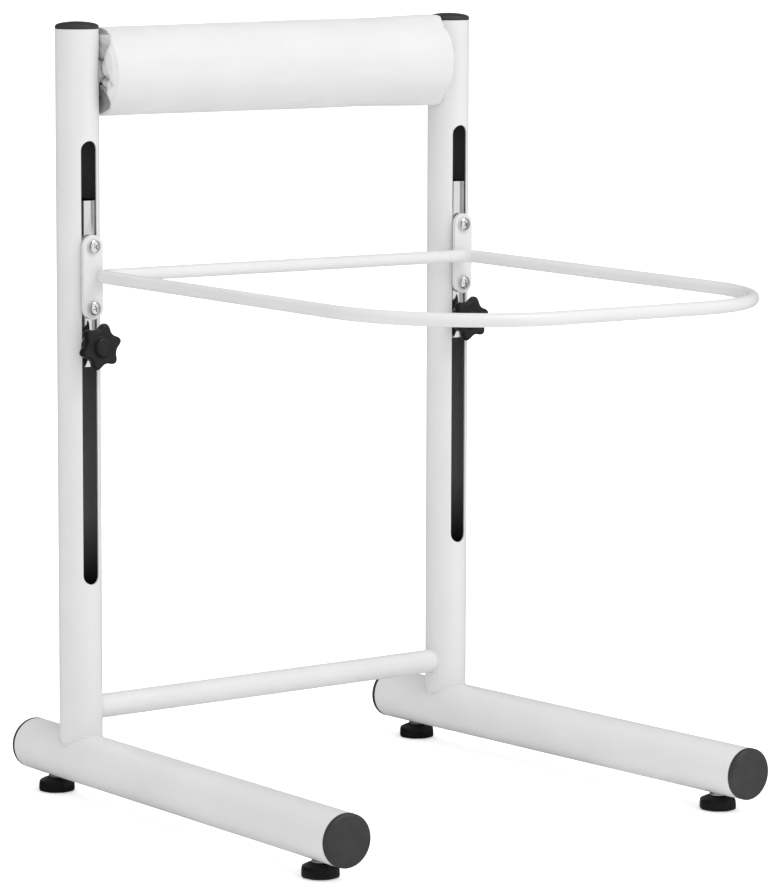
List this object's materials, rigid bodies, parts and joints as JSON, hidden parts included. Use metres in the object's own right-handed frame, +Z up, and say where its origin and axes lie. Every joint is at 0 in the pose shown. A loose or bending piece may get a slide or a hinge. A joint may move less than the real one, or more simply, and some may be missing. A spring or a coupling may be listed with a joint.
{
  "type": "hair-wash basin stand",
  "caption": "Free-standing tubular hair-wash basin stand: slotted uprights, height-adjustable hoop clamped by star knobs, padded neck roll, splayed floor runners and levelling feet.",
  "frame": {"origin": "on the floor, at the middle of the bounding box", "axes": "+X across the stand to the right seen from the hoop side, +Z up, hoop and long runner ends towards -Y"},
  "size_m": [0.6358, 0.7742, 0.9016],
  "materials": {
    "white_powder_coat": "satin white powder coat on steel",
    "chrome": "bright chrome plate",
    "zinc_steel": "zinc-plated steel",
    "black_plastic": "satin moulded plastic",
    "grey_plastic": "fine-grained moulded plastic",
    "white_cover": "soft white coated cloth, drawn in at both ends",
    "foam": "open-cell foam"
  },
  "bodies": {
    "stand": {"left_upright": "white_powder_coat", "left_upright_cap": "grey_plastic", "left_floor_runner": "white_powder_coat", "left_front_end_cap": "grey_plastic", "left_rear_end_cap": "grey_plastic", "right_upright": "white_powder_coat", "right_upright_cap": "grey_plastic", "right_floor_runner": "white_powder_coat", "right_front_end_cap": "grey_plastic", "right_rear_end_cap": "grey_plastic", "lower_cross_bar": "white_powder_coat", "neck_roll_core_bar": "white_powder_coat", "neck_roll_foam": "foam", "neck_roll_cover": "white_cover", "left_front_foot_insert": "zinc_steel", "left_rear_foot_insert": "zinc_steel", "right_front_foot_insert": "zinc_steel", "right_rear_foot_insert": "zinc_steel"},
    "hoop_carriage": {"basin_hoop": "white_powder_coat", "left_bracket_plate": "white_powder_coat", "left_inner_slider": "chrome", "left_nut_bar": "zinc_steel", "left_upper_screw": "chrome", "left_upper_bush": "zinc_steel", "left_lower_screw": "chrome", "left_lower_bush": "zinc_steel", "right_bracket_plate": "white_powder_coat", "right_inner_slider": "chrome", "right_nut_bar": "zinc_steel", "right_upper_screw": "chrome", "right_upper_bush": "zinc_steel", "right_lower_screw": "chrome", "right_lower_bush": "zinc_steel"},
    "left_washer": {"left_knob_washer": "zinc_steel"},
    "left_knob": {"left_clamp_knob": "black_plastic", "left_knob_stud": "zinc_steel"},
    "right_washer": {"right_knob_washer": "zinc_steel"},
    "right_knob": {"right_clamp_knob": "black_plastic", "right_knob_stud": "zinc_steel"},
    "left_front_foot_washer": {"left_front_foot_washer": "zinc_steel"},
    "left_front_foot": {"left_front_foot_pad": "black_plastic", "left_front_foot_stem": "zinc_steel"},
    "left_rear_foot_washer": {"left_rear_foot_washer": "zinc_steel"},
    "left_rear_foot": {"left_rear_foot_pad": "black_plastic", "left_rear_foot_stem": "zinc_steel"},
    "right_front_foot_washer": {"right_front_foot_washer": "zinc_steel"},
    "right_front_foot": {"right_front_foot_pad": "black_plastic", "right_front_foot_stem": "zinc_steel"},
    "right_rear_foot_washer": {"right_rear_foot_washer": "zinc_steel"},
    "right_rear_foot": {"right_rear_foot_pad": "black_plastic", "right_rear_foot_stem": "zinc_steel"}
  },
  "joints": [
    {"name": "hoop_height", "type": "slide", "parent": "stand", "child": "hoop_carriage", "axis": [0, 0, 1], "range_m": [-0.2605, 0.112]},
    {"name": "left_knob_travel", "type": "slide", "parent": "hoop_carriage", "child": "left_washer", "axis": [0, -1, 0], "range_m": [0, 0.0025]},
    {"name": "left_knob_turn", "type": "hinge", "parent": "left_washer", "child": "left_knob", "pos_m": [-0.27, 0.23268, 0.5324], "axis": [0, -1, 0], "range_deg": [0, 720]},
    {"name": "right_knob_travel", "type": "slide", "parent": "hoop_carriage", "child": "right_washer", "axis": [0, -1, 0], "range_m": [0, 0.0025]},
    {"name": "right_knob_turn", "type": "hinge", "parent": "right_washer", "child": "right_knob", "pos_m": [0.27, 0.23268, 0.5324], "axis": [0, -1, 0], "range_deg": [0, 720]},
    {"name": "left_front_leveller_height", "type": "slide", "parent": "stand", "child": "left_front_foot_washer", "axis": [0, 0, 1], "range_m": [-0.012, 0]},
    {"name": "left_front_leveller_turn", "type": "hinge", "parent": "left_front_foot_washer", "child": "left_front_foot", "pos_m": [-0.28618, -0.21005, 0.02], "axis": [0, 0, -1], "range_deg": [0, 2880]},
    {"name": "left_rear_leveller_height", "type": "slide", "parent": "stand", "child": "left_rear_foot_washer", "axis": [0, 0, 1], "range_m": [-0.012, 0]},
    {"name": "left_rear_leveller_turn", "type": "hinge", "parent": "left_rear_foot_washer", "child": "left_rear_foot", "pos_m": [-0.26818, 0.33265, 0.02], "axis": [0, 0, -1], "range_deg": [0, 2880]},
    {"name": "right_front_leveller_height", "type": "slide", "parent": "stand", "child": "right_front_foot_washer", "axis": [0, 0, 1], "range_m": [-0.012, 0]},
    {"name": "right_front_leveller_turn", "type": "hinge", "parent": "right_front_foot_washer", "child": "right_front_foot", "pos_m": [0.28618, -0.21005, 0.02], "axis": [0, 0, -1], "range_deg": [0, 2880]},
    {"name": "right_rear_leveller_height", "type": "slide", "parent": "stand", "child": "right_rear_foot_washer", "axis": [0, 0, 1], "range_m": [-0.012, 0]},
    {"name": "right_rear_leveller_turn", "type": "hinge", "parent": "right_rear_foot_washer", "child": "right_rear_foot", "pos_m": [0.26818, 0.33265, 0.02], "axis": [0, 0, -1], "range_deg": [0, 2880]}
  ],
  "couplings": [
    {"joint": "left_knob_travel", "follows": "left_knob_turn", "m_per_rad": 0.00019894},
    {"joint": "right_knob_travel", "follows": "right_knob_turn", "m_per_rad": 0.00019894},
    {"joint": "left_front_leveller_height", "follows": "left_front_leveller_turn", "m_per_rad": -0.00023873},
    {"joint": "left_rear_leveller_height", "follows": "left_rear_leveller_turn", "m_per_rad": -0.00023873},
    {"joint": "right_front_leveller_height", "follows": "right_front_leveller_turn", "m_per_rad": -0.00023873},
    {"joint": "right_rear_leveller_height", "follows": "right_rear_leveller_turn", "m_per_rad": -0.00023873}
  ]
}
